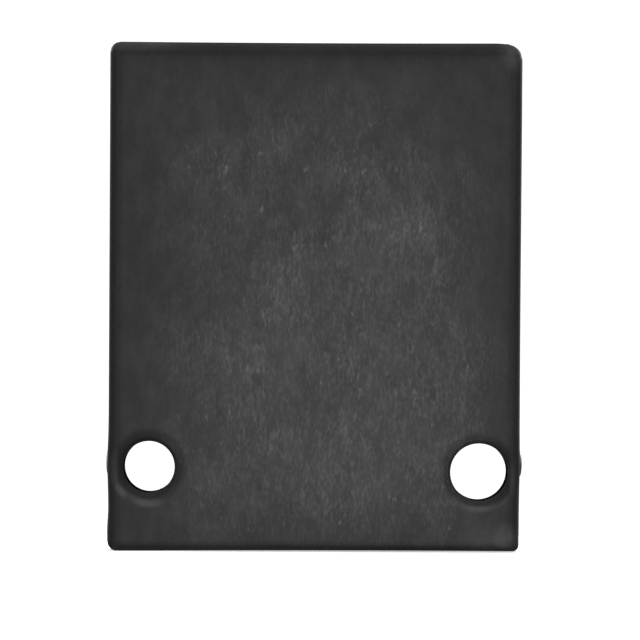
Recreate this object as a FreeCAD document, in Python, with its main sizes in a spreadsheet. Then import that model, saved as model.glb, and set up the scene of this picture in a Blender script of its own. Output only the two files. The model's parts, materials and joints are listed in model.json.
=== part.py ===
import FreeCAD, Part
import math
import os
import Sketcher

# A deep sheet-steel cap for the top of a fence post, in millimetres.
# The origin is at the middle of the open bottom rim. +Z points up the post, the front face
# looks along -Y, and +X is on the right of somebody facing the front.
#
# Two pressed shells meet in a lap at half depth. The rear shell's flanges step inwards
# there and slide under the front shell's flanges, and four solid rivets hold the lap.
# Two bolts run from front to back, one on each side of the post, and clamp the faces to it.

DIMENSIONS = {
    "post_side": 70.0,  # the square post that the cap is made for
    "post_play": 1.0,
    "sheet_thick": 1.5,
    "cap_width": 104.0,
    "cap_height": 128.8,
    "bend_radius": 2.5,  # outside of the bends round each face
    "corner_left": 3.0,  # outline corners at the top, as seen from the front
    "corner_right": 3.8,
    "corner_tongue": 3.0,
    "rim_radius": 1.3,  # rounding of the open bottom rim
    "hem_height": 8.0,  # folded-back strip inside the bottom of each face
    "hem_inset": 5.0,
    "tongue_length": 18.0,
    "tongue_root": 3.0,  # where the joggled flange is still one with its shell
    "tongue_foot": 3.0,  # the tongue ends this far above the rim
    "seam_gap": 0.3,
    "bolt_spacing": 83.5,
    "left_bolt_hole": 13.0,
    "left_bolt_height": 21.3,
    "right_bolt_hole": 14.5,
    "right_bolt_height": 20.3,
    "dish_radius": 10.1,
    "dish_depth": 1.0,
    "collar_thick": 1.2,
    "collar_reach": 3.2,  # from the outside of the face to the end of the collar
    "rivet_shank": 3.2,
    "rivet_head": 6.4,
    "rivet_dome": 0.8,
    "rivet_height": 22.3,
    "flush_head": 5.8,
    "rivet_tail": 5.2,
    "sink_depth": 1.2,
    "top_rivet_spacing": 52.0,
    "spare": 2.0,  # how far a cutting shape runs past what it cuts
}

NEAR = 1e-4  # two places closer than this are one place


class Size:
    """A length, with the spreadsheet expression that it comes from."""

    def __init__(self, value, text):
        self.value = value
        self.text = text

    def __add__(self, other):
        return Size(self.value + other.value, f"({self.text} + {other.text})")

    def __sub__(self, other):
        return Size(self.value - other.value, f"({self.text} - {other.text})")

    def __neg__(self):
        return Size(-self.value, f"(-{self.text})")

    def __mul__(self, number):
        return Size(self.value * number, f"({self.text} * {number})")

    def __truediv__(self, number):
        return Size(self.value / number, f"({self.text} / {number})")


doc = FreeCAD.newDocument("fence_post_cap")
sheet = doc.addObject("Spreadsheet::Sheet", "Dimensions")
for row, (alias, value) in enumerate(DIMENSIONS.items(), start=1):
    sheet.set(f"A{row}", alias)
    sheet.set(f"B{row}", str(value))
    sheet.setAlias(f"B{row}", alias)
doc.recompute()


def size(alias):
    return Size(DIMENSIONS[alias], f"Dimensions.{alias}")


NOUGHT = Size(0.0, "0")
SPARE = size("spare")
THICK = size("sheet_thick")
WIDTH = size("cap_width")
HEIGHT = size("cap_height")
HALF_DEPTH = (size("post_side") + size("post_play")) / 2 + THICK * 2
LAP_END = size("tongue_length") / 2  # the lap is centred on the middle of the depth
FRONT_DEPTH = HALF_DEPTH + LAP_END
REAR_DEPTH = HALF_DEPTH - LAP_END - size("seam_gap")


# ---------------------------------------------------------------- small helpers


def bind(thing, prop, length):
    thing.setExpression(prop, length.text)


def new_body(label):
    body = doc.addObject("PartDesign::Body", label)
    body.Label = label
    return body


def new_sketch(body, name, plane, shift):
    """A sketch on one of the body's own planes, moved by three sizes in the sketch's frame."""
    sketch = body.newObject("Sketcher::SketchObject", name)
    features = body.Origin.OriginFeatures
    sketch.AttachmentSupport = [(f, "") for f in features if f.Role == plane]
    sketch.MapMode = "FlatFace"
    for axis, length in zip("xyz", shift):
        bind(sketch, f"AttachmentOffset.Base.{axis}", length)
    return sketch


def pin_corner(sketch, line, end, corner):
    """Holds one end of a line at a distance from the sketch's origin that the sheet gives."""
    for kind, length in zip(("DistanceX", "DistanceY"), corner):
        rule = Sketcher.Constraint(kind, -1, 1, line, end, length.value)
        index = sketch.addConstraint(rule)
        bind(sketch, f"Constraints[{index}]", length)


def draw_outline(sketch, corners, closed=True):
    """Straight lines through the corners, each corner bound to the sheet."""
    points = [FreeCAD.Vector(x.value, y.value, 0) for x, y in corners]
    ends = points[1:] + points[:1] if closed else points[1:]
    for start, end in zip(points, ends):
        sketch.addGeometry(Part.LineSegment(start, end), False)
    count = len(ends)
    for line in range(count):
        pin_corner(sketch, line, 1, corners[line])
        if closed or line + 1 < count:
            rule = Sketcher.Constraint("Coincident", line, 2, (line + 1) % count, 1)
            sketch.addConstraint(rule)
    if not closed:
        pin_corner(sketch, count - 1, 2, corners[-1])


def pad(body, name, sketch, length, reverse):
    feature = body.newObject("PartDesign::Pad", name)
    feature.Profile = sketch
    feature.Reversed = reverse
    bind(feature, "Length", length)
    return feature


def turn(body, name, sketch, axis, kind):
    """Turns a profile a full circle about the sketch's own axis, to add or to cut."""
    feature = body.newObject(f"PartDesign::{kind}", name)
    feature.Profile = sketch
    feature.ReferenceAxis = (sketch, [axis])
    feature.Angle = 360
    return feature


def round_edges(body, name, radius, wanted):
    """A fillet on every edge of the tip whose bounding box passes the test."""
    doc.recompute()
    tip = body.Tip
    edges = enumerate(tip.Shape.Edges, start=1)
    names = [f"Edge{number}" for number, edge in edges if wanted(edge.BoundBox)]
    fillet = body.newObject("PartDesign::Fillet", name)
    fillet.Base = (tip, names)
    bind(fillet, "Radius", radius)
    return fillet


def runs_back(box, across, up):
    """True for an edge that runs straight back from the face at one place of the outline."""
    here = abs(box.XMin - across.value) < NEAR and abs(box.ZMin - up.value) < NEAR
    return here and box.XLength < NEAR and box.ZLength < NEAR


# ---------------------------------------------------------------- the two shells
# Each shell is drawn with its face on y = 0 and its flanges running towards +Y, and its
# Placement then carries it to the front or turns it round to the back.


def press_pan(body, depth, corners):
    """A tray with a face, two side flanges and a top flange, open at the back and bottom."""
    half = WIDTH / 2
    outline = new_sketch(body, "face_outline", "XZ_Plane", (NOUGHT, NOUGHT, NOUGHT))
    draw_outline(outline, [(-half, NOUGHT), (half, NOUGHT), (half, HEIGHT), (-half, HEIGHT)])
    pad(body, "block", outline, depth, True)
    for side, corner in zip(("low_x", "high_x"), corners):
        place = -half if side == "low_x" else half
        round_edges(body, f"{side}_corner", corner, lambda box: runs_back(box, place, HEIGHT))
    bend = size("bend_radius")
    round_edges(body, "bends", bend, lambda box: box.YMax < NEAR and box.ZMax > NEAR)

    wall = half - THICK
    ceiling = HEIGHT - THICK
    hollow = new_sketch(body, "hollow_outline", "XZ_Plane", (NOUGHT, NOUGHT, -THICK))
    floor = -SPARE
    draw_outline(hollow, [(-wall, floor), (wall, floor), (wall, ceiling), (-wall, ceiling)])
    pocket = body.newObject("PartDesign::Pocket", "hollow")
    pocket.Profile = hollow
    pocket.Type = "ThroughAll"
    for side, corner in zip(("low_x", "high_x"), corners):
        place = -wall if side == "low_x" else wall
        inner = corner - THICK
        name = f"{side}_inner_corner"
        round_edges(body, name, inner, lambda box: runs_back(box, place, ceiling))
    round_edges(
        body,
        "inner_bends",
        bend - THICK,
        lambda box: abs(box.YMin - THICK.value) < NEAR
        and box.YLength < NEAR
        and box.ZMax > NEAR,
    )
    rim = size("rim_radius")
    round_edges(body, "rim", rim, lambda box: box.YMax < NEAR and box.ZMax < NEAR)


def fold_hem(body):
    """The strip folded back inside the bottom of the face, so that no cut edge shows."""
    reach = WIDTH / 2 - size("hem_inset")
    strip = new_sketch(body, "hem_outline", "XY_Plane", (NOUGHT, NOUGHT, NOUGHT))
    back = THICK * 2
    draw_outline(strip, [(-reach, THICK / 2), (reach, THICK / 2), (reach, back), (-reach, back)])
    lift = size("rim_radius")
    bind(strip, "AttachmentOffset.Base.z", lift / 2)
    pad(body, "hem", strip, size("hem_height") - lift / 2, False)


def form_bolt_hole(body, name, across, up, radius):
    """A bolt hole in a shallow dish, with a short collar drawn inwards round it."""
    dish = size("dish_radius")
    dip = size("dish_depth")
    end = size("collar_reach")
    neck = radius + size("collar_thick")
    behind = THICK / 2
    shift = (across, NOUGHT, up)
    ring = new_sketch(body, f"{name}_collar_profile", "XY_Plane", shift)
    draw_outline(
        ring,
        [
            (radius - THICK / 2, behind),
            (dish - THICK, behind),
            (dish - THICK / 2, THICK),
            (neck, THICK + dip),
            (neck, end),
            (radius - THICK / 2, end),
        ],
    )
    turn(body, f"{name}_collar", ring, "V_Axis", "Revolution")
    cut = new_sketch(body, f"{name}_hole_profile", "XY_Plane", shift)
    draw_outline(
        cut,
        [
            (NOUGHT, -SPARE),
            (dish, -SPARE),
            (dish, NOUGHT),
            (radius, dip),
            (radius, end + SPARE),
            (NOUGHT, end + SPARE),
        ],
    )
    turn(body, f"{name}_hole", cut, "V_Axis", "Groove")


def cut_side_rivet_holes(body, back, sunk):
    """One cut along X through both side flanges, countersunk on the inside where asked."""
    shank = size("rivet_shank") / 2
    shift = (NOUGHT, size("rivet_height"), -back)
    cut = new_sketch(body, "side_rivet_profile", "XZ_Plane", shift)
    past = WIDTH / 2 + SPARE
    half = [(past, NOUGHT), (past, shank)]
    if sunk:
        inside = WIDTH / 2 - THICK * 2
        half += [(inside + size("sink_depth"), shank), (inside, size("rivet_tail") / 2)]
    mirrored = [(-across, radius) for across, radius in reversed(half)]
    draw_outline(cut, half + mirrored)
    turn(body, "side_rivet_holes", cut, "H_Axis", "Groove")


def cut_top_rivet_hole(body, name, across, back, profile):
    cut = new_sketch(body, f"{name}_profile", "XZ_Plane", (across, NOUGHT, -back))
    draw_outline(cut, profile)
    turn(body, name, cut, "V_Axis", "Groove")


TOP_RIVETS = {"left": -size("top_rivet_spacing") / 2, "right": size("top_rivet_spacing") / 2}
SHANK = size("rivet_shank") / 2
SINK = size("sink_depth")
BOLTS = {
    "left": (-size("bolt_spacing") / 2, size("left_bolt_height"), size("left_bolt_hole") / 2),
    "right": (size("bolt_spacing") / 2, size("right_bolt_height"), size("right_bolt_hole") / 2),
}


def build_front_shell():
    body = new_body("front_shell")
    press_pan(body, FRONT_DEPTH, (size("corner_left"), size("corner_right")))
    fold_hem(body)
    for side, (across, up, radius) in BOLTS.items():
        form_bolt_hole(body, f"{side}_bolt", across, up, radius)
    cut_side_rivet_holes(body, HALF_DEPTH, False)
    under = HEIGHT - THICK - SPARE
    over = HEIGHT + SPARE
    head = size("flush_head") / 2
    for side, across in TOP_RIVETS.items():
        profile = [
            (NOUGHT, under),
            (SHANK, under),
            (SHANK, HEIGHT - SINK),
            (head, HEIGHT),
            (head, over),
            (NOUGHT, over),
        ]
        cut_top_rivet_hole(body, f"{side}_top_hole", across, HALF_DEPTH, profile)
    bind(body, "Placement.Base.y", -HALF_DEPTH)
    return body


def build_rear_shell():
    body = new_body("rear_shell")
    press_pan(body, REAR_DEPTH, (size("corner_right"), size("corner_left")))
    fold_hem(body)
    for side, (across, up, radius) in BOLTS.items():
        form_bolt_hole(body, f"{side}_bolt", -across, up, radius)

    # The joggled tongue lies one sheet thickness inside the outline and runs forward.
    outer = WIDTH / 2 - THICK
    inner = outer - THICK
    roof = HEIGHT - THICK
    ceiling = roof - THICK
    foot = size("tongue_foot")
    root = REAR_DEPTH - size("tongue_root")
    tongue = new_sketch(body, "tongue_outline", "XZ_Plane", (NOUGHT, NOUGHT, -root))
    outside = [(-outer, foot), (-outer, roof), (outer, roof), (outer, foot)]
    inside = [(inner, foot), (inner, ceiling), (-inner, ceiling), (-inner, foot)]
    draw_outline(tongue, outside + inside)
    length = size("tongue_root") + size("seam_gap") + size("tongue_length")
    pad(body, "tongue", tongue, length, True)
    corner = size("corner_tongue")
    in_tongue = root.value + NEAR
    for side, outer_x, inner_x in (("low_x", -outer, -inner), ("high_x", outer, inner)):
        round_edges(
            body,
            f"{side}_tongue_corner",
            corner - THICK,
            lambda box: runs_back(box, inner_x, ceiling) and box.YMax > in_tongue,
        )
        round_edges(
            body,
            f"{side}_tongue_outer",
            corner,
            lambda box: runs_back(box, outer_x, roof) and box.YMax > REAR_DEPTH.value + NEAR,
        )

    cut_side_rivet_holes(body, HALF_DEPTH, True)
    under = ceiling - SPARE
    over = roof + SPARE
    tail = size("rivet_tail") / 2
    for side, across in TOP_RIVETS.items():
        profile = [
            (NOUGHT, under),
            (tail, under),
            (tail, ceiling),
            (SHANK, ceiling + SINK),
            (SHANK, over),
            (NOUGHT, over),
        ]
        cut_top_rivet_hole(body, f"{side}_top_hole", -across, HALF_DEPTH, profile)
    body.Placement.Rotation = FreeCAD.Rotation(FreeCAD.Vector(0, 0, 1), 180)
    bind(body, "Placement.Base.y", HALF_DEPTH)
    return body


# ---------------------------------------------------------------- the rivets
# A rivet stands on its own +Z axis, with z = 0 on the outside of the front shell's flange.
# Its hammered tail ends flush with the inside of the lap, so that nothing stops the post.


def build_rivet(label, domed, turned, place):
    body = new_body(label)
    tail_end = -(THICK * 2)
    profile = [
        (NOUGHT, tail_end),
        (size("rivet_tail") / 2, tail_end),
        (SHANK, tail_end + SINK),
    ]
    sketch = new_sketch(body, f"{label}_profile", "XZ_Plane", (NOUGHT, NOUGHT, NOUGHT))
    if domed:
        rim = size("rivet_head") / 2
        rise = size("rivet_dome")
        draw_outline(sketch, [(NOUGHT, rise)] + profile + [(SHANK, NOUGHT), (rim, NOUGHT)], False)
        draw_dome(sketch, rim, rise)
    else:
        head = size("flush_head") / 2
        draw_outline(sketch, profile + [(SHANK, -SINK), (head, NOUGHT), (NOUGHT, NOUGHT)])
    turn(body, f"{label}_turned", sketch, "V_Axis", "Revolution")
    body.Placement.Rotation = turned
    for axis, length in zip("xyz", place):
        bind(body, f"Placement.Base.{axis}", length)
    return body


def draw_dome(sketch, rim, rise):
    """The arc over a domed head, from its rim to its top, centred on the rivet's axis."""
    radius = (rim.value**2 + rise.value**2) / (2 * rise.value)
    middle = FreeCAD.Vector(0, rise.value - radius, 0)
    circle = Part.Circle(middle, FreeCAD.Vector(0, 0, 1), radius)
    start = math.asin((radius - rise.value) / radius)
    last = sketch.GeometryCount - 1
    arc = sketch.addGeometry(Part.ArcOfCircle(circle, start, math.pi / 2), False)
    sketch.addConstraint(Sketcher.Constraint("Coincident", arc, 1, last, 2))
    sketch.addConstraint(Sketcher.Constraint("Coincident", arc, 2, 0, 1))
    sketch.addConstraint(Sketcher.Constraint("PointOnObject", arc, 3, -2))


def build_rivets():
    up = FreeCAD.Vector(0, 0, 1)
    rivets = []
    for side, sign in (("left", -1), ("right", 1)):
        turned = FreeCAD.Rotation(up, FreeCAD.Vector(sign, 0, 0))
        place = (WIDTH / 2 * sign, NOUGHT, size("rivet_height"))
        rivets.append(build_rivet(f"side_rivet_{side}", True, turned, place))
    for side, across in TOP_RIVETS.items():
        place = (across, NOUGHT, HEIGHT)
        rivets.append(build_rivet(f"top_rivet_{side}", False, FreeCAD.Rotation(), place))
    return rivets


# ---------------------------------------------------------------- build, check and write


def check(parts):
    """Stops the build if a feature failed, a cut removed nothing or a part is not one solid."""
    for thing in doc.Objects:
        if "Invalid" in thing.State or "Error" in thing.State:
            raise RuntimeError(f"{thing.Name} failed: {thing.State}")
        if thing.TypeId in ("PartDesign::Pocket", "PartDesign::Groove"):
            if thing.Shape.Volume > thing.BaseFeature.Shape.Volume - NEAR:
                raise RuntimeError(f"{thing.Name} cut nothing")
    for part in parts:
        shape = part.Shape
        if shape.isNull() or not shape.isValid() or len(shape.Solids) != 1:
            raise RuntimeError(f"{part.Label} is not one valid solid")


parts = [build_front_shell(), build_rear_shell()] + build_rivets()
doc.recompute()
check(parts)
os.makedirs("parts", exist_ok=True)
for part in parts:
    part.Shape.exportStep(f"parts/{part.Label}.step")
    box = part.Shape.BoundBox
    spans = ((box.XMin, box.XMax), (box.YMin, box.YMax), (box.ZMin, box.ZMax))
    reach = ", ".join(f"{low:.2f} to {high:.2f}" for low, high in spans)
    print(f"{part.Label}: {part.Shape.Volume:.0f} mm3, {reach}")
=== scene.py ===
import json
import math

import bmesh
import bpy
from mathutils import Matrix, Vector, noise


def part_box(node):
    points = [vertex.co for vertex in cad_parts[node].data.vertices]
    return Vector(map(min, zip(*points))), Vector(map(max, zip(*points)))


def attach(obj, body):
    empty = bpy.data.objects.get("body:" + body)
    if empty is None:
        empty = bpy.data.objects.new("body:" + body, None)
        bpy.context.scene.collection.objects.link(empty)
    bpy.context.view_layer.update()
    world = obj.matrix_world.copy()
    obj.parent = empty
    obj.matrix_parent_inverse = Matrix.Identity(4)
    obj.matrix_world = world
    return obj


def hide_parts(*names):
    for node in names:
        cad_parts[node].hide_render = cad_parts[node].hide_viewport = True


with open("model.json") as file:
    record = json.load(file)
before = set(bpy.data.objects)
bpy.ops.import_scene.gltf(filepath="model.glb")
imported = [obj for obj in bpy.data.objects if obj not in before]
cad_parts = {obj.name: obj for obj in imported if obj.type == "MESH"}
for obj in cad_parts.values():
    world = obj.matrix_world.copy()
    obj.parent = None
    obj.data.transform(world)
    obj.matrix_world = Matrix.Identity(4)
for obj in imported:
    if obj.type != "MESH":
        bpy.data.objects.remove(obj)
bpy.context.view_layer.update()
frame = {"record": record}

# A riveted sheet-steel cap for a fence post. Lengths are in metres, in the frame of the CAD
# model: the origin is at the middle of the open rim, +Z goes up, and the front looks along -Y.

MM = 0.001

# ---------------------------------------------------------------- sizes

FRONT_LOW, FRONT_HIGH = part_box("front_shell")
REAR_LOW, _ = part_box("rear_shell")
SIDE_RIVET_LOW, SIDE_RIVET_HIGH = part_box("side_rivet_right")
TOP_RIVET_LOW, TOP_RIVET_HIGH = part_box("top_rivet_right")
MOUNTS = {mount["name"]: mount for mount in frame["record"]["mounts"]}

HALF_WIDTH = FRONT_HIGH.x
HEIGHT = FRONT_HIGH.z
HALF_DEPTH = -FRONT_LOW.y
SEAM_GAP = 0.3 * MM
SHEET = 1.5 * MM
SHEET_DRAWN = 1.44 * MM  # a hair less than the sheet, so that folded layers don't touch
BEND = 2.5 * MM
CORNER_LEFT = 2.7 * MM
CORNER_RIGHT = 3.8 * MM
# The two sides, left then right as seen from the front.
CURLS = (2.6 * MM, 1.6 * MM)  # how far the lower corner is turned in
PULLS = (0.28 * MM, 0.12 * MM)  # how far the rivet draws the side out
PULL_REACH = 6.5 * MM  # how far up and down from the rivet that is felt
FLARES = (0.26 * MM, 0.0)  # how far the foot of the side stands out
FLARE_LOW, FLARE_HIGH = 5.0 * MM, 11.0 * MM  # heights between which that fades
HEM_HEIGHT = 8.0 * MM
HEM_INSET = 5.0 * MM
TONGUE_FOOT = 3.0 * MM  # how far the foot of the tongue is cut back
TONGUE_FOOT_REACH = 7.0 * MM  # height up to which the cut is felt
JOGGLE = 1.5 * MM  # length over which the rear shell steps in to pass under the front one
DISH_RADIUS = 10.1 * MM
DISH_DEPTH = 1.0 * MM
DISH_TILT = 0.38  # how much deeper than the mean a dish is at its bottom
DISH_ROUNDING = 1.35  # above 1 a dish is still falling where it meets its hole
COLLAR_END = 3.2 * MM
LIP_ACROSS = 1.3 * MM  # rounding where the dish turns into the collar
LIP_DEEP = 1.5 * MM
CROWN = 0.4 * MM  # how far the face falls back at its margins
CROWN_MARGIN = 20.0 * MM
CROWN_BELOW = 9.0 * MM  # the crown runs out this far below the rim

# The pressed outline is a little uneven.
FOOT_RISE = 0.38 * MM
FOOT_PEAK = 0.48  # where the foot is highest, as a share of the half width
TOP_SAG = 0.16 * MM
CORNER_DROOP = 0.34 * MM
SIDE_LEAN = 0.26 * MM
SIDE_TUCK = 0.16 * MM

# How much painted shade darkens a bend, from 0 to 1: at the edge of the face, and at the
# bend's far end.
SIDE_FOLD_SHADE, SIDE_FOLD_SHADE_END = 0.34, 0.14
TOP_FOLD_SHADE, TOP_FOLD_SHADE_END = 0.5, 0.8

RIVET_HEIGHT = (SIDE_RIVET_LOW.z + SIDE_RIVET_HIGH.z) / 2
RIVET_HEAD = (SIDE_RIVET_HIGH.z - SIDE_RIVET_LOW.z) / 2
RIVET_OUT = SIDE_RIVET_HIGH.x
RIVET_IN = SIDE_RIVET_LOW.x
RIVET_SHANK = 1.6 * MM
RIVET_TAIL = 2.6 * MM
TOP_RIVET_X = (TOP_RIVET_HIGH.x + TOP_RIVET_LOW.x) / 2
TOP_RIVET_HEAD = (TOP_RIVET_HIGH.x - TOP_RIVET_LOW.x) / 2
SINK = 1.2 * MM  # depth of a countersink
DIMPLE = 0.14 * MM
DIMPLE_REACH = 4.5 * MM
RIVET_SEGMENTS = 48


def bolt_hole(name):
    """Where a bolt hole is on the face, and its radius."""
    mount = MOUNTS[name]
    return mount["pos_m"][0], mount["pos_m"][2], mount["dims"]["r_mm"] * MM


BOLT_HOLES = [bolt_hole("left_bolt_bore"), bolt_hole("right_bolt_bore")]


def smooth_step(value, low, high):
    """0 up to low, 1 from high on, and a smooth rise between them."""
    t = min(1.0, max(0.0, (value - low) / (high - low)))
    return t * t * (3 - 2 * t)


def spaced(low, high, step):
    """Even stops from low to high, both included, no further apart than the step."""
    count = max(1, math.ceil((high - low) / step - 1e-6))
    return [low + (high - low) * i / count for i in range(count + 1)]


def thin_out(stops):
    """The stops in order, without those that all but coincide."""
    kept = []
    for stop in sorted(stops):
        if not kept or stop - kept[-1] > 0.05 * MM:
            kept.append(stop)
    return kept


def lip_fold_shade(angle):
    """Painted shade on a hole's lip, heavier at its bottom, which the light falls on more, than at
    its top.
    """
    return 0.34 - 0.22 * math.sin(angle)


# ---------------------------------------------------------------- meshes


def add_piece(name, bm, material, node):
    """Adds a finished mesh as a piece that stands for one CAD node."""
    bmesh.ops.remove_doubles(bm, verts=bm.verts, dist=1e-6)
    for face in bm.faces:
        face.smooth = True
    mesh = bpy.data.meshes.new(name)
    bm.to_mesh(mesh)
    bm.free()
    mesh.set_sharp_from_angle(angle=math.radians(40))
    mesh.materials.append(material)
    piece = bpy.data.objects.new(name, mesh)
    bpy.context.scene.collection.objects.link(piece)
    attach(piece, "root")
    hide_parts(node)
    return piece


def stitch(bm, first, second, closed=False):
    """Quads between two rows of vertices of the same length."""
    count = len(first)
    for i in range(count if closed else count - 1):
        j = (i + 1) % count
        bm.faces.new((first[i], first[j], second[j], second[i]))


class Shell:
    """One pressed shell: the outside skin of a face, its bends and its flanges.

    It is modelled facing -Y, with the face at y = 0 and the flanges running to +Y.
    """

    STEP = 1.6 * MM  # spacing of the face's grid
    FINE = 1.2 * MM  # and of its finer parts, in line with the bolt holes
    BACK_STEP = 2.2 * MM  # spacing of the rows along the flanges
    BEND_STEPS = 8
    # the square windows in the grid, in which the rings round the bolt holes lie
    WINDOW_INSET = 18.0 * MM
    WINDOW_LOW = 9.6 * MM
    WINDOW_HIGH = 31.2 * MM
    DISH_RINGS = 9
    LIP_RINGS = 6
    NEAR = 1e-7

    def __init__(self, depth, holes, left_first, tongue, seed):
        self.depth = depth
        self.holes = holes
        # each pair is for low x and high x in the shell's own frame
        self.turn = 1 if left_first else -1
        self.corners = (CORNER_LEFT, CORNER_RIGHT)[:: self.turn]
        self.curls = CURLS[:: self.turn]
        self.pulls = PULLS[:: self.turn]
        self.flares = FLARES[:: self.turn]
        self.tongue = tongue  # length of the stepped-in tongue past the seam, or 0
        self.seed = seed
        self.flat = HALF_WIDTH - BEND
        self.roof = HEIGHT - BEND
        self.window = self.flat - self.WINDOW_INSET
        self.bm = bmesh.new()
        self.wear = self.bm.verts.layers.float.new("wear")
        self.fold = self.bm.verts.layers.float.new("fold")
        self.grid = {}
        self.xs = self.columns()
        self.zs = self.rows()

    def vertex(self, place, wear=0.0, fold=0.0):
        vert = self.bm.verts.new(place)
        vert[self.wear] = wear
        vert[self.fold] = fold
        return vert

    # the flat face

    def columns(self):
        stops = spaced(-self.flat, -self.window, self.FINE)
        stops += spaced(-self.window, self.window, self.STEP)
        stops += spaced(self.window, self.flat, self.FINE)
        for side, radius in zip((-1, 1), self.corners):
            for share in (1.0, 0.5):
                stops.append(side * (self.flat - (radius - BEND) * share))
        return thin_out(stops)

    def rows(self):
        stops = [SHEET * (1 - math.cos(math.radians(turn))) for turn in (0, 12, 28, 45, 65)]
        stops += spaced(SHEET, self.WINDOW_LOW, self.FINE)
        stops += spaced(self.WINDOW_LOW, self.WINDOW_HIGH, self.FINE)
        stops += spaced(self.WINDOW_HIGH, self.roof, self.STEP)
        for radius in self.corners:
            for share in (1.0, 0.5):
                stops.append(self.roof - (radius - BEND) * share)
        return thin_out(stops)

    def crown(self, x, z):
        """How far the face falls back near its margins."""
        margin = min(HALF_WIDTH - abs(x), HEIGHT - z, z + CROWN_BELOW)
        share = 1 - min(1.0, max(0.0, margin / CROWN_MARGIN))
        return CROWN * share**2

    def dish(self, x, z):
        """Depth of the dishes round the bolt holes; they are pressed deeper at the bottom."""
        depth = 0.0
        for hole_x, hole_z, radius in self.holes:
            away = math.hypot(x - hole_x, z - hole_z)
            share = (DISH_RADIUS - away) / (DISH_RADIUS - radius)
            steep = 1 - DISH_TILT * (z - hole_z) / max(away, radius)
            depth += DISH_DEPTH * steep * smooth_step(share, 0.0, DISH_ROUNDING)
        return depth

    def ripple(self, x, z):
        """Slight unevenness of pressed sheet, always inwards."""
        wide = noise.noise(Vector((x * 38, z * 30, self.seed)))
        fine = noise.noise(Vector((x * 130, z * 100, self.seed + 7)))
        return (0.06 + 0.05 * wide + 0.012 * fine) * MM

    def face_fold_shade(self, x, z):
        """How much painted shade darkens a place on the face because a bend is near, from 0 to 1.
        """
        side = SIDE_FOLD_SHADE * smooth_step(abs(x), self.flat - 1.2 * MM, self.flat)
        top = 0.3 * smooth_step(z, self.roof - 7.0 * MM, self.roof)
        top += 0.17 * smooth_step(z, self.roof - 2.0 * MM, self.roof)
        return max(side, top)

    def settle(self, x, z):
        """Makes the outline uneven: the foot rises away from its left end, the top sags in
        the middle and droops at its right end, and the right side leans out and tucks in."""
        seen = x * self.turn / HALF_WIDTH
        foot = FOOT_RISE * (1 - ((seen - FOOT_PEAK) / (1 + FOOT_PEAK)) ** 2)
        foot *= 1 - smooth_step(z, 0.0, 11 * MM)
        sag = TOP_SAG * (1 - seen**2) * smooth_step(z, 90 * MM, HEIGHT)
        sag += CORNER_DROOP * smooth_step(seen, 0.87, 0.98) * smooth_step(z, 115 * MM, HEIGHT)
        lean = SIDE_LEAN * max(0.0, seen) * smooth_step(z, 40 * MM, HEIGHT)
        tuck = SIDE_TUCK * max(0.0, seen) * (1 - smooth_step(z, 0.0, 40 * MM))
        return Vector((x + (lean - tuck) * self.turn, 0, z + max(0.0, foot) - max(0.0, sag)))

    def face_y(self, x, z):
        """How far back a place on the face lies."""
        return self.crown(x, z) + self.dish(x, z) + self.ripple(x, z) + self.roll(z)

    def roll(self, z):
        """How far the lower edge of the face curves back into the fold of the hem."""
        if z >= SHEET:
            return 0.0
        return SHEET - math.sqrt(max(0.0, SHEET**2 - (SHEET - z) ** 2))

    def corner_centre(self, x):
        """Centre of the arc that rounds the top corner of the face on this side."""
        radius = self.corners[0 if x < 0 else 1] - BEND
        return math.copysign(self.flat - radius, x), self.roof - radius

    def onto_outline(self, x, z):
        """Carries the grid's square top corners onto the arcs of the outline."""
        centre_x, centre_z = self.corner_centre(x)
        across = abs(x) - abs(centre_x)
        up = z - centre_z
        if across <= self.NEAR or up <= self.NEAR:
            return x, z
        scale = max(across, up) / math.hypot(across, up)
        return centre_x + math.copysign(across * scale, x), centre_z + up * scale

    def in_window(self, x, z):
        """Whether a place on the face is inside one of the square windows."""
        across = self.window + self.NEAR < abs(x) < self.flat - self.NEAR
        return across and self.WINDOW_LOW + self.NEAR < z < self.WINDOW_HIGH - self.NEAR

    def build_face(self):
        for i, x in enumerate(self.xs):
            for j, z in enumerate(self.zs):
                if not self.in_window(x, z):
                    px, pz = self.onto_outline(x, z)
                    place = (px, self.face_y(px, pz), pz)
                    self.grid[i, j] = self.vertex(place, fold=self.face_fold_shade(px, pz))
        for i in range(len(self.xs) - 1):
            for j in range(len(self.zs) - 1):
                middle_x = (self.xs[i] + self.xs[i + 1]) / 2
                middle_z = (self.zs[j] + self.zs[j + 1]) / 2
                if not self.in_window(middle_x, middle_z):
                    corners = [(i, j), (i + 1, j), (i + 1, j + 1), (i, j + 1)]
                    self.bm.faces.new([self.grid[corner] for corner in corners])

    # the bolt holes

    def window_loop(self, side):
        """The grid's vertices round one window, anticlockwise from its lower left."""
        across = [i for i, x in enumerate(self.xs) if x * side > self.window - self.NEAR]
        low, high = self.WINDOW_LOW - self.NEAR, self.WINDOW_HIGH + self.NEAR
        up = [j for j, z in enumerate(self.zs) if low < z < high]
        loop = [(i, up[0]) for i in across]
        loop += [(across[-1], j) for j in up[1:]]
        loop += [(i, up[-1]) for i in reversed(across[:-1])]
        loop += [(across[0], j) for j in reversed(up[1:-1])]
        return [self.grid[key] for key in loop]

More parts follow.
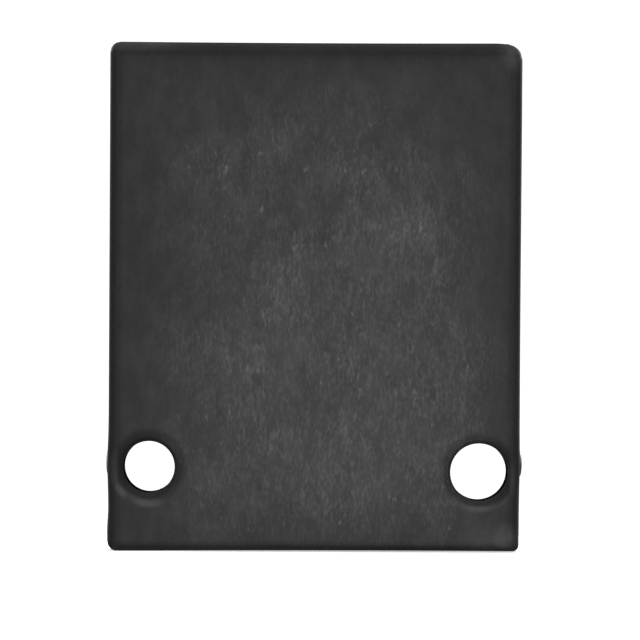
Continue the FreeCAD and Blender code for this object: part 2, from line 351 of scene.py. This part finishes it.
    def build_hole(self, hole):
        """Rings from the square window in to the hole, over its lip and down its collar."""
        hole_x, hole_z, radius = hole
        loop = self.window_loop(math.copysign(1, hole_x))
        angles = [math.atan2(vert.co.z - hole_z, vert.co.x - hole_x) for vert in loop]
        reaches = [math.hypot(vert.co.x - hole_x, vert.co.z - hole_z) for vert in loop]
        lips = [radius + min(LIP_ACROSS, 0.7 * (reach - radius)) for reach in reaches]
        ring = loop
        for step in range(1, self.DISH_RINGS + 1):
            share = (step / self.DISH_RINGS) ** 0.8
            new = []
            for angle, reach, lip in zip(angles, reaches, lips):
                away = reach + (lip - reach) * share
                x = hole_x + away * math.cos(angle)
                z = hole_z + away * math.sin(angle)
                # painted shade on the lip, and near the bends
                fold = lip_fold_shade(angle) * (1 - smooth_step(away, lip, lip + 0.8 * MM))
                fold = max(fold, self.face_fold_shade(x, z))
                new.append(self.vertex((x, self.face_y(x, z), z), fold=fold))
            stitch(self.bm, ring, new, closed=True)
            ring = new
        rims = [vert.co.y for vert in ring]
        for step in range(1, self.LIP_RINGS + 1):
            share = step / self.LIP_RINGS
            turn = share * math.pi / 2
            aways = [lip - (lip - radius) * math.sin(turn) for lip in lips]
            levels = [rim + LIP_DEEP * (1 - math.cos(turn)) for rim in rims]
            ring = self.hole_ring(ring, hole, angles, aways, levels, share)
        for share in (0.5, 1.0):
            levels = [rim + LIP_DEEP + (COLLAR_END - rim - LIP_DEEP) * share for rim in rims]
            ring = self.hole_ring(ring, hole, angles, aways, levels, 1.0)

    def hole_ring(self, ring, hole, angles, aways, levels, share):
        """One ring further down a hole, past the given share of its lip."""
        new = []
        for angle, away, level in zip(angles, aways, levels):
            x = hole[0] + away * math.cos(angle)
            z = hole[1] + away * math.sin(angle)
            # painted shade down the lip and collar; the lip is paler in the middle of its turn
            wear = 0.5 * math.sin(math.pi * share)
            new.append(self.vertex((x, level, z), wear, lip_fold_shade(angle) + 0.1 * share))
        stitch(self.bm, ring, new, closed=True)
        return new

    # the bends and flanges

    def outline(self):
        """The face's edge up one side, along the top and down the other, each vertex with
        the direction in which its bend turns."""
        last_i, last_j = len(self.xs) - 1, len(self.zs) - 1
        run = [(0, j) for j in range(last_j + 1)]
        run += [(i, last_j) for i in range(1, last_i + 1)]
        run += [(last_i, j) for j in range(last_j - 1, -1, -1)]
        verts = [self.grid[key] for key in run]
        return verts, [self.outward(vert.co.x, vert.co.z) for vert in verts]

    def outward(self, x, z):
        """The direction in which the bend turns at a place on the face's edge."""
        centre_x, centre_z = self.corner_centre(x)
        if z <= centre_z + self.NEAR:
            return Vector((math.copysign(1, x), 0, 0))
        if abs(x) <= abs(centre_x) + self.NEAR:
            return Vector((0, 0, 1))
        return Vector((x - centre_x, 0, z - centre_z)).normalized()

    def flange_vertex(self, start, away, reach, back, foot=0.0, share=1.0):
        """A vertex past the edge of the face, as far outwards as reach says and as far behind
        as back says. The share is how much of the bend has been turned by then, and foot is
        how far the lower end is cut back there.
        """
        out = reach
        z = start.z + away.z * reach
        if abs(away.x) > 0.9:
            side = 0 if start.x < 0 else 1
            drop = max(0.0, self.curls[side] - z)
            out -= (self.curls[side] - math.sqrt(self.curls[side] ** 2 - drop**2)) * share
            pull = self.pulls[side] * math.exp(-(((z - RIVET_HEIGHT) / PULL_REACH) ** 2))
            flare = self.flares[side] * (1 - smooth_step(z, FLARE_LOW, FLARE_HIGH))
            out += (pull + flare) * share
            if z < TONGUE_FOOT_REACH:
                z += foot * (1 - z / TONGUE_FOOT_REACH)
        if away.z > 0.9:
            z -= self.top_dimple(start.x, back)
            z -= self.ripple(start.x, back) * 0.6 * smooth_step(back, 0.0, 5 * MM)
        # the bends carry a painted highlight and chipping at their crests, the bend along the top
        # half as much
        up = max(0.0, away.z)
        wear = (1 - 0.5 * up) * math.sin(math.pi * share**0.8) ** 2
        # painted shade, from the edge of the face to the bend's far end, fading out along the
        # flange
        near = SIDE_FOLD_SHADE + (TOP_FOLD_SHADE - SIDE_FOLD_SHADE) * up
        far = SIDE_FOLD_SHADE_END + (TOP_FOLD_SHADE_END - SIDE_FOLD_SHADE_END) * up
        fold = near + (far - near) * smooth_step(share, 0.1, 0.65)
        fold *= 1 - smooth_step(share, 0.75, 1.0) * smooth_step(back, 0.8 * BEND, 2.2 * BEND)
        return self.vertex((start.x + away.x * out, back, z), wear, fold)

    def top_dimple(self, x, back):
        """The sheet sinks a little round each flush rivet in the top."""
        away = math.hypot(abs(x) - TOP_RIVET_X, back - HALF_DEPTH)
        return DIMPLE * math.exp(-((away / DIMPLE_REACH) ** 2))

    def build_flanges(self):
        row, directions = self.outline()
        base = list(row)
        rests = [vert.co.y for vert in base]
        for step in range(1, self.BEND_STEPS + 1):
            share = step / self.BEND_STEPS
            turn = share * math.pi / 2
            reach = BEND * math.sin(turn)
            new = []
            for start, away, rest in zip(base, directions, rests):
                back = BEND * (1 - math.cos(turn)) + rest * (1 - share)
                new.append(self.flange_vertex(start.co, away, reach, back, share=share))
            stitch(self.bm, row, new)
            row = new
        straight_end = self.depth - (0.8 * JOGGLE if self.tongue else 0.0)
        for back in spaced(BEND, straight_end, self.BACK_STEP)[1:]:
            new = [self.flange_vertex(s.co, a, BEND, back) for s, a in zip(base, directions)]
            stitch(self.bm, row, new)
            row = new
        if self.tongue:
            self.build_tongue(row, base, directions, straight_end)

    def build_tongue(self, row, base, directions, start_back):
        """The flange steps in by one sheet and runs on under the other shell."""
        stops = [(share * JOGGLE, smooth_step(share, 0.0, 1.0)) for share in spaced(0.0, 1.0, 0.13)]
        stops += [(back, 1.0) for back in spaced(JOGGLE, self.tongue, self.BACK_STEP)[1:]]
        for back, share in stops[1:]:
            reach = BEND - SHEET * share
            foot = TONGUE_FOOT * smooth_step(back, JOGGLE, JOGGLE + 2.0 * MM)
            place = start_back + back
            new = [
                self.flange_vertex(s.co, a, reach, place, foot) for s, a in zip(base, directions)
            ]
            stitch(self.bm, row, new)
            row = new

    def build_hem(self):
        """The lower edge of the face folded back inside, over the middle of its width."""
        reach = HALF_WIDTH - HEM_INSET
        row = [self.grid[i, 0] for i, x in enumerate(self.xs) if abs(x) <= reach]
        starts = [vert.co.copy() for vert in row]
        steps = 5
        for step in range(1, steps + 1):
            turn = step / steps * math.pi / 2
            back = SHEET * math.sin(turn)
            rise = SHEET * (1 - math.cos(turn))
            # painted shade in the turn of the hem
            fold = 0.6 * step / steps
            new = [self.vertex((s.x, s.y + back, s.z + rise), fold=fold) for s in starts]
            stitch(self.bm, row, new)
            row = new
        # painted shade over the hem's inside
        for level in spaced(SHEET, HEM_HEIGHT, self.STEP)[1:]:
            new = [self.vertex((s.x, s.y + SHEET, s.z + level), fold=0.8) for s in starts]
            stitch(self.bm, row, new)
            row = new

    def build(self, name, material, node, turn):
        """Builds the shell and turns it round Z to face the way it should."""
        self.build_face()
        for hole in self.holes:
            self.build_hole(hole)
        self.build_flanges()
        self.build_hem()
        for vert in self.bm.verts:
            settled = self.settle(vert.co.x, vert.co.z)
            vert.co.x, vert.co.z = settled.x, settled.z
        bmesh.ops.recalc_face_normals(self.bm, faces=self.bm.faces)
        self.bm.faces.ensure_lookup_table()
        if self.bm.faces[0].normal.y > 0:
            bmesh.ops.reverse_faces(self.bm, faces=self.bm.faces)
        place = Matrix.Rotation(turn, 4, "Z") @ Matrix.Translation((0, -HALF_DEPTH, 0))
        bmesh.ops.transform(self.bm, matrix=place, verts=self.bm.verts)
        piece = add_piece(name, self.bm, material, node)
        thicken(piece)
        return piece


def thicken(piece):
    """Gives a skin its sheet on the inside and rounds the cut edges."""
    sheet = piece.modifiers.new("sheet", "SOLIDIFY")
    sheet.thickness = SHEET_DRAWN
    sheet.offset = -1.0
    sheet.use_even_offset = True
    sheet.thickness_clamp = 2.0
    edges = piece.modifiers.new("cut_edges", "BEVEL")
    edges.width = 0.25 * MM
    edges.segments = 2
    edges.limit_method = "ANGLE"
    edges.angle_limit = math.radians(55)


def lathe(bm, profile, place, seed, unevenness):
    """Turns a profile of (radius, height) round Z, slightly uneven as a hammered head is."""
    rings = []
    for radius, height in profile:
        ring = []
        for i in range(RIVET_SEGMENTS):
            angle = i / RIVET_SEGMENTS * 2 * math.pi
            spot = Vector((math.cos(angle), math.sin(angle), 0)) * radius
            dent = noise.noise(Vector((spot.x * 420, spot.y * 420, seed))) * unevenness
            ring.append(bm.verts.new(place @ Vector((spot.x, spot.y, height - abs(dent)))))
        rings.append(ring)
    for first, second in zip(rings, rings[1:]):
        stitch(bm, first, second, closed=True)
    bm.faces.new(rings[0])
    bm.faces.new(list(reversed(rings[-1])))


def build_side_rivet(name, node, side, material, seed):
    """A domed head outside the lap, a shank through it, and a flush tail inside."""
    seat = HALF_WIDTH + PULLS[0 if side < 0 else 1] - 0.04 * MM
    dome = RIVET_OUT - seat
    steps = 14
    profile = []
    for step in range(1, steps + 1):
        angle = step / steps * math.pi / 2
        rise = math.cos(angle) ** 0.85 if step < steps else 0.0
        profile.append((RIVET_HEAD * math.sin(angle), seat + dome * (0.1 + 0.9 * rise)))
    profile.append((RIVET_HEAD * 0.985, seat - 0.1 * MM))
    profile.append((RIVET_SHANK, seat - 0.1 * MM))
    profile.append((RIVET_SHANK, RIVET_IN + SINK))
    profile.append((RIVET_TAIL, RIVET_IN + 0.12 * MM))
    profile.append((RIVET_TAIL * 0.94, RIVET_IN))
    profile.append((RIVET_TAIL * 0.4, RIVET_IN))
    turn = Matrix.Rotation(math.radians(90) * side, 4, "Y")
    place = Matrix.Translation((0, 0, RIVET_HEIGHT)) @ turn
    bm = bmesh.new()
    lathe(bm, profile, place, seed, 0.04 * MM)
    bmesh.ops.recalc_face_normals(bm, faces=bm.faces)
    return add_piece(name, bm, material, node)


def build_top_rivet(name, node, x, material, seed):
    """A countersunk rivet, almost flush with the top and with the underside of the lap."""
    top = TOP_RIVET_HIGH.z
    foot = TOP_RIVET_LOW.z
    head = TOP_RIVET_HEAD
    profile = []
    for share in (0.12, 0.35, 0.6, 0.8, 0.92, 1.0):
        profile.append((head * share, top - 0.1 * MM * share**3))
    profile.append((head, top - 0.25 * MM))
    profile.append((RIVET_SHANK, top - SINK))
    profile.append((RIVET_SHANK, foot + SINK))
    profile.append((RIVET_TAIL, foot + 0.1 * MM))
    profile.append((RIVET_TAIL * 0.94, foot))
    profile.append((RIVET_TAIL * 0.3, foot))
    bm = bmesh.new()
    lathe(bm, profile, Matrix.Translation((x, 0, 0)), seed, 0.03 * MM)
    bmesh.ops.recalc_face_normals(bm, faces=bm.faces)
    return add_piece(name, bm, material, node)


# ---------------------------------------------------------------- materials


class Nodes:
    """A material's node tree, with short ways to add and join nodes."""

    def __init__(self, name):
        self.material = bpy.data.materials.new(name)
        self.material.use_nodes = True
        self.tree = self.material.node_tree
        self.shader = self.tree.nodes["Principled BSDF"]
        self.place = self.add("ShaderNodeTexCoord").outputs["Object"]

    def add(self, kind, **settings):
        node = self.tree.nodes.new(kind)
        for name, value in settings.items():
            setattr(node, name, value)
        return node

    def feed(self, socket, value):
        if isinstance(value, bpy.types.NodeSocket):
            self.tree.links.new(value, socket)
        else:
            socket.default_value = value

    def math(self, operation, *values, clamp=False):
        node = self.add("ShaderNodeMath", operation=operation, use_clamp=clamp)
        for socket, value in zip(node.inputs, values):
            self.feed(socket, value)
        return node.outputs[0]

    def ramp(self, value, low, high, to_low=0.0, to_high=1.0):
        node = self.add("ShaderNodeMapRange", interpolation_type="SMOOTHSTEP")
        for name, item in (
            ("Value", value),
            ("From Min", low),
            ("From Max", high),
            ("To Min", to_low),
            ("To Max", to_high),
        ):
            self.feed(node.inputs[name], item)
        return node.outputs["Result"]

    def scaled(self, scale, shift=(0, 0, 0)):
        node = self.add("ShaderNodeMapping")
        self.feed(node.inputs["Vector"], self.place)
        node.inputs["Location"].default_value = shift
        node.inputs["Scale"].default_value = scale
        return node.outputs["Vector"]

    def noise(self, scale, detail=2.0, roughness=0.5, shift=(0, 0, 0)):
        node = self.add("ShaderNodeTexNoise")
        self.feed(node.inputs["Vector"], self.scaled(scale, shift))
        node.inputs["Scale"].default_value = 1.0
        node.inputs["Detail"].default_value = detail
        node.inputs["Roughness"].default_value = roughness
        return node.outputs["Fac"]

    def blend(self, share, first, second):
        node = self.add("ShaderNodeMix", data_type="RGBA")
        self.feed(node.inputs["Factor"], share)
        self.feed(node.inputs["A"], first)
        self.feed(node.inputs["B"], second)
        return node.outputs["Result"]

    def bump(self, height, strength, distance, normal=None):
        node = self.add("ShaderNodeBump")
        self.feed(node.inputs["Height"], height)
        node.inputs["Strength"].default_value = strength
        node.inputs["Distance"].default_value = distance
        if normal is not None:
            self.feed(node.inputs["Normal"], normal)
        return node.outputs["Normal"]

    def attribute(self, name):
        return self.add("ShaderNodeAttribute", attribute_name=name).outputs["Fac"]

    def distance(self, centre):
        """Distance from a place on the object; an axis that is None isn't counted."""
        total = 0.0
        for axis, value in zip(self.axes(), centre):
            if value is not None:
                step = self.math("POWER", self.math("SUBTRACT", axis, value), 2.0)
                total = self.math("ADD", total, step)
        return self.math("SQRT", total)

    def axes(self):
        node = self.add("ShaderNodeSeparateXYZ")
        self.feed(node.inputs["Vector"], self.place)
        return node.outputs["X"], node.outputs["Y"], node.outputs["Z"]


def grey(value, warmth=0.0):
    """A grey as a colour with alpha, slightly towards red where it is warm."""
    return (value * (1 + warmth), value, value * (1 - warmth * 0.6), 1.0)


# Painted highlights where the corners of the front catch the light: the place, how far the
# highlight reaches, the radius inside which it is full, and its strength.
CORNER_HIGHLIGHT_HIGH = ((50.6 * MM, -37.2 * MM, 126.0 * MM), 5.8 * MM, 1.0 * MM, 0.85)
CORNER_HIGHLIGHT_LOW = ((47.9 * MM, -38.5 * MM, 3.5 * MM), 5.3 * MM, 0.4 * MM, 1.30)
CORNER_HIGHLIGHT_FOOT = ((43.0 * MM, -38.5 * MM, 1.5 * MM), 9.8 * MM, 1.5 * MM, 0.62)

# Painted highlights in arcs along the lower rims of the dishes, where their slopes face the light,
# under both holes and to the left of the left one: the hole, how far its centre is to the side of
# the hole's and below it, how far the arc reaches, and its strength.
DISH_HIGHLIGHT_ARCS = (
    (BOLT_HOLES[0], -0.5 * MM, 9.3 * MM, 5.2 * MM, 1.0),
    (BOLT_HOLES[0], -7.3 * MM, 6.0 * MM, 3.0 * MM, 1.1),
    (BOLT_HOLES[0], -9.0 * MM, 1.0 * MM, 7.0 * MM, 0.45),
    (BOLT_HOLES[1], -0.3 * MM, 9.3 * MM, 5.2 * MM, 1.05),
)


def middle_rub_and_sheen(n):
    """Painted sheen over the middle of the faces, strongest low on the right, with painted shade
    towards their margins; the same mask sets where the faces are rubbed into flecks.
    """
    x, _, z = n.axes()
    aside = n.math("ABSOLUTE", n.math("SUBTRACT", x, 2.0 * MM))
    margin = n.ramp(aside, 52.5 * MM, 25.0 * MM)
    margin = n.math("MULTIPLY", margin, n.ramp(z, 133.0 * MM, 98.0 * MM))
    margin = n.math("MULTIPLY", margin, n.ramp(z, -12.0 * MM, 22.0 * MM))
    far = n.distance((22.0 * MM, None, 40.0 * MM))
    near = n.ramp(far, 108.0 * MM, 10.0 * MM, 0.04, 0.78)
    cloud = n.ramp(n.noise((60, 60, 46), 6.0, 0.66, (2.6, 0.0, 1.9)), 0.28, 0.72, -0.16, 0.48)
    return n.math("MULTIPLY", margin, n.math("ADD", near, cloud), clamp=True)


def corner_painted_highlights(n):
    """Painted highlights at the corners, and along the bend at the left end of the front's top."""
    x, y, z = n.axes()
    high, low, foot = (
        n.ramp(n.distance(place), reach, core, 0.0, amount)
        for place, reach, core, amount in (CORNER_HIGHLIGHT_HIGH, CORNER_HIGHLIGHT_LOW, CORNER_HIGHLIGHT_FOOT)
    )
    edge = n.math("MULTIPLY", n.ramp(z, 125.8 * MM, 127.6 * MM), n.ramp(y, -34.5 * MM, -37.0 * MM))
    edge = n.math("MULTIPLY", edge, n.ramp(x, -28.0 * MM, -44.0 * MM, 0.0, 0.55))
    corner_highlights = n.math("ADD", n.math("ADD", high, n.math("MAXIMUM", low, foot)), edge)
    broken = n.ramp(n.noise((520, 520, 420), 4.0, 0.65), 0.34, 0.66, 0.62, 1.1)
    return n.math("MULTIPLY", corner_highlights, broken, clamp=True)


# painted highlights on the lower rims of the dishes
def dish_painted_highlights(n):
    arcs = 0.0
    for hole, across, down, reach, amount in DISH_HIGHLIGHT_ARCS:
        away = n.distance((hole[0], None, hole[1]))
        inner, outer = n.ramp(away, 8.2 * MM, 9.1 * MM), n.ramp(away, 10.7 * MM, 9.6 * MM)
        near = n.distance((hole[0] + across, None, hole[1] - down))
        part = n.ramp(near, reach, 0.2 * reach, 0.0, amount)
        painted_light = n.math("MULTIPLY", n.math("MULTIPLY", inner, outer), part)
        arcs = n.math("MAXIMUM", arcs, painted_light, clamp=True)
    return arcs


def bore_painted_light(n):
    """Painted light that lifts the bores of the collars out of their shade."""
    bores = 0.0
    for hole_x, hole_z, radius in BOLT_HOLES:
        away = n.distance((hole_x, None, hole_z))
        painted_light = n.ramp(away, radius + 0.5 * MM, radius + 0.1 * MM, 0.0, 0.42)
        bores = n.math("MAXIMUM", bores, painted_light)
    return bores


def foot_painted_light(n):
    """Painted light on the lower edge, which turns down away from the lamps, more on the left."""
    x, _, z = n.axes()
    edge = n.ramp(z, 1.7 * MM, 0.2 * MM)
    return n.math("MULTIPLY", edge, n.ramp(x, 20.0 * MM, -20.0 * MM, 0.20, 0.66))


def make_coating():
    """Dark stoved coating, rubbed pale in fine upright flecks over the middle of each face, with
    painted sheen, highlights, light and shade laid into its colour.
    """
    n = Nodes("shell_coating")
    rub_and_sheen = middle_rub_and_sheen(n)
    mottle = n.ramp(n.noise((210, 210, 130), 5.0, 0.6), 0.3, 0.7)
    # fine upright flecks, gathered in small patches
    fine = n.noise((1700, 1700, 660), 2.0, 0.65)
    coarse = n.noise((900, 900, 300), 2.0, 0.6, (3.0, 5.0, 7.0))
    grain = n.math("ADD", n.math("MULTIPLY", fine, 0.68), n.math("MULTIPLY", coarse, 0.32))
    patch = n.ramp(n.noise((75, 75, 60), 4.0, 0.6), 0.3, 0.72, 0.45, 1.0)
    amount = n.math("ADD", n.math("MULTIPLY", n.math("POWER", rub_and_sheen, 1.4), 1.35), 0.07)
    flecks = n.math("MULTIPLY", n.math("MULTIPLY", n.ramp(grain, 0.40, 0.76), patch), amount)
    # here and there a cluster of them is rubbed down to a bright speck
    cluster = n.ramp(n.noise((430, 430, 230), 1.0, 0.5, (9.0, 2.0, 4.0)), 0.64, 0.76)
    specks = n.math("MULTIPLY", cluster, n.ramp(grain, 0.50, 0.66))
    specks = n.math("MULTIPLY", specks, n.ramp(rub_and_sheen, 0.12, 0.6, 0.0, 0.5))
    # painted shade darkens the folds; the crests of the bends carry a painted highlight and are
    # chipped
    fold = n.attribute("fold")
    crest_sheen_and_wear = n.attribute("wear")
    chips = n.ramp(n.noise((240, 240, 240), 5.0, 0.7), 0.52, 0.75)
    worn = n.math("MULTIPLY", crest_sheen_and_wear, chips, clamp=True)

    # each layer: how much of it shows, and its colour
    # painted sheen lightens the middle of each face and painted shade darkens its margins
    base = n.blend(rub_and_sheen, grey(0.0112), grey(0.074))
    for share, colour in (
        (n.math("MULTIPLY", mottle, 0.22), grey(0.009)),
        (n.math("MULTIPLY", flecks, 0.8, clamp=True), grey(0.16, 0.01)),
        (specks, grey(0.24)),
        # painted shade in the bends, lips, collars and hem
        (n.math("MULTIPLY", fold, 0.7), grey(0.004)),
        # painted light in the shaded bores
        (bore_painted_light(n), grey(0.11)),
        # painted light on the down-turned lower edge
        (foot_painted_light(n), grey(0.062)),
        # painted highlights at the corners and along the top left bend
        (corner_painted_highlights(n), grey(0.062)),
        # painted highlights on the lower rims of the dishes
        (n.math("MULTIPLY", dish_painted_highlights(n), 0.7), grey(0.070)),
        # painted highlight along the crests of the bends
        (n.math("MULTIPLY", crest_sheen_and_wear, 0.26), grey(0.08)),
        # chips in the coating at the crests
        (n.math("MULTIPLY", worn, 0.25), grey(0.08)),
    ):
        base = n.blend(share, base, colour)
    n.feed(n.shader.inputs["Base Color"], base)
    rough = n.math("ADD", n.ramp(rub_and_sheen, 0.0, 1.0, 0.47, 0.56), n.math("MULTIPLY", mottle, 0.06))
    n.feed(n.shader.inputs["Roughness"], n.math("ADD", rough, n.math("MULTIPLY", fold, 0.08)))
    # the weather has dulled the top of the cap more than its foot
    weather = n.ramp(n.axes()[2], 20.0 * MM, 90.0 * MM, 1.0, 0.87)
    gloss = n.math("MULTIPLY", n.ramp(fold, 0.1, 0.9, 0.36, 0.11), weather)
    n.feed(n.shader.inputs["Specular IOR Level"], gloss)
    peel = n.noise((900, 900, 700), 2.0, 0.5)
    normal = n.bump(peel, 0.25, 0.06 * MM)
    normal = n.bump(grain, 0.3, 0.05 * MM, normal)
    n.feed(n.shader.inputs["Normal"], normal)
    return n.material


def make_rivet_metal(name, paint):
    """Plated steel with scuffs, and with some of the coating on it: the more paint, the more."""
    n = Nodes(name)
    scuff = n.noise((900, 900, 900), 4.0, 0.6)
    wide = n.noise((260, 260, 260), 4.0, 0.6)
    coat = n.ramp(n.math("ADD", wide, paint), 0.62, 0.74)
    metal = n.blend(n.ramp(scuff, 0.3, 0.75), grey(0.30), grey(0.58))
    n.feed(n.shader.inputs["Base Color"], n.blend(coat, metal, grey(0.035)))
    n.feed(n.shader.inputs["Metallic"], n.math("SUBTRACT", 1.0, coat, clamp=True))
    n.feed(n.shader.inputs["Roughness"], n.ramp(scuff, 0.25, 0.8, 0.40, 0.58))
    n.feed(n.shader.inputs["Normal"], n.bump(scuff, 0.3, 0.08 * MM))
    return n.material


def make_floor_material():
    n = Nodes("studio_floor")
    n.feed(n.shader.inputs["Base Color"], (0.9, 0.9, 0.9, 1))
    n.feed(n.shader.inputs["Roughness"], 0.8)
    n.feed(n.shader.inputs["Emission Color"], (1, 1, 1, 1))
    n.feed(n.shader.inputs["Emission Strength"], 0.5)
    return n.material


# ---------------------------------------------------------------- the studio

FLOOR_RADIUS = 0.55
WORLD_LIT = 0.115  # how strongly the white surroundings light the cap
WORLD_SEEN = 1.1  # and how bright they look
AIM = (0.01, -0.04, 0.05)
# name, place, what it points at, width and height, and power in watts
LIGHTS = (
    ("key", (0.10, -0.75, 0.55), AIM, (0.34, 0.30), 2.2),
    ("front_fill", (-0.03, -0.9, 0.08), AIM, (0.4, 0.14), 1.8),
    ("overhead", (0.0, 0.2, 1.9), (0.0, 0.1, 0.0), (1.6, 1.6), 24.0),
    ("back_left", (-1.0, 1.0, 0.6), AIM, (0.8, 0.8), 9.0),
    ("back_right", (1.0, 1.0, 0.6), AIM, (0.8, 0.8), 14.0),
)

CAMERA_DISTANCE = 7.6
CAMERA_AIM = Vector((1.34 * MM, -HALF_DEPTH, 58.6 * MM))
CAMERA_ROLL = math.radians(0.27)
VIEW_WIDTH = 161.8 * MM  # what the picture spans in the plane of the front
SENSOR_WIDTH = 36  # in millimetres, as the lens is


def area_light(name, place, aim, size, energy):
    data = bpy.data.lights.new(name, "AREA")
    data.shape = "RECTANGLE"
    data.size, data.size_y = size
    data.energy = energy
    lamp = bpy.data.objects.new(name, data)
    bpy.context.scene.collection.objects.link(lamp)
    lamp.location = place
    lamp.rotation_euler = (Vector(aim) - Vector(place)).to_track_quat("-Z", "Y").to_euler()


def build_studio():
    scene = bpy.context.scene
    scene.view_settings.view_transform = "Standard"
    scene.view_settings.look = "None"
    world = bpy.data.worlds.new("studio")
    scene.world = world
    world.use_nodes = True
    tree = world.node_tree
    seen = tree.nodes.new("ShaderNodeLightPath").outputs["Is Camera Ray"]
    level = tree.nodes.new("ShaderNodeMapRange")
    tree.links.new(seen, level.inputs["Value"])
    level.inputs["To Min"].default_value = WORLD_LIT
    level.inputs["To Max"].default_value = WORLD_SEEN
    shade = tree.nodes["Background"]
    shade.inputs["Color"].default_value = (1, 1, 1, 1)
    tree.links.new(level.outputs["Result"], shade.inputs["Strength"])

    disc = bmesh.new()
    bmesh.ops.create_circle(disc, cap_ends=True, segments=128, radius=FLOOR_RADIUS)
    mesh = bpy.data.meshes.new("floor")
    disc.to_mesh(mesh)
    disc.free()
    mesh.materials.append(make_floor_material())
    floor = bpy.data.objects.new("floor", mesh)
    scene.collection.objects.link(floor)
    floor.visible_diffuse = False
    floor.visible_glossy = False

    for light in LIGHTS:
        area_light(*light)


def build_camera():
    """A long lens straight in front, very slightly rolled."""
    scene = bpy.context.scene
    data = bpy.data.cameras.new("camera")
    data.sensor_width = SENSOR_WIDTH
    data.lens = SENSOR_WIDTH * CAMERA_DISTANCE / VIEW_WIDTH
    data.clip_end = 100
    camera = bpy.data.objects.new("camera", data)
    scene.collection.objects.link(camera)
    upright = Matrix.Rotation(math.radians(90), 4, "X")
    roll = Matrix.Rotation(CAMERA_ROLL, 4, "Z")
    place = Matrix.Translation(CAMERA_AIM + Vector((0, -CAMERA_DISTANCE, 0)))
    camera.matrix_world = place @ upright @ roll
    scene.camera = camera


# ---------------------------------------------------------------- the cap

coating = make_coating()
# the left side head gets a bare copy of the metal and the right one a mostly painted copy: a lit
# and a shaded copy of one metal, painted light and shade
rivet_metal_lit_copy = make_rivet_metal("rivet_bare", 0.0)
rivet_metal_shaded_copy = make_rivet_metal("rivet_painted", 0.25)
worn_metal = make_rivet_metal("rivet_worn", 0.19)

front = Shell(
    depth=HALF_DEPTH + FRONT_HIGH.y,
    holes=BOLT_HOLES,
    left_first=True,
    tongue=0.0,
    seed=3.0,
)
front.build("front_shell_skin", coating, "front_shell", 0.0)

rear = Shell(
    depth=HALF_DEPTH - FRONT_HIGH.y - SEAM_GAP,
    holes=[(-x, z, radius) for x, z, radius in reversed(BOLT_HOLES)],
    left_first=False,
    tongue=FRONT_HIGH.y + SEAM_GAP + 0.8 * JOGGLE - REAR_LOW.y,
    seed=11.0,
)
rear.build("rear_shell_skin", coating, "rear_shell", math.pi)

# the bright left head and the dark right head are painted light and painted shade
build_side_rivet("side_rivet_left_head", "side_rivet_left", -1, rivet_metal_lit_copy, 1.0)
build_side_rivet("side_rivet_right_head", "side_rivet_right", 1, rivet_metal_shaded_copy, 5.0)
build_top_rivet("top_rivet_left_head", "top_rivet_left", -TOP_RIVET_X, worn_metal, 9.0)
build_top_rivet("top_rivet_right_head", "top_rivet_right", TOP_RIVET_X, worn_metal, 13.0)

build_studio()
build_camera()
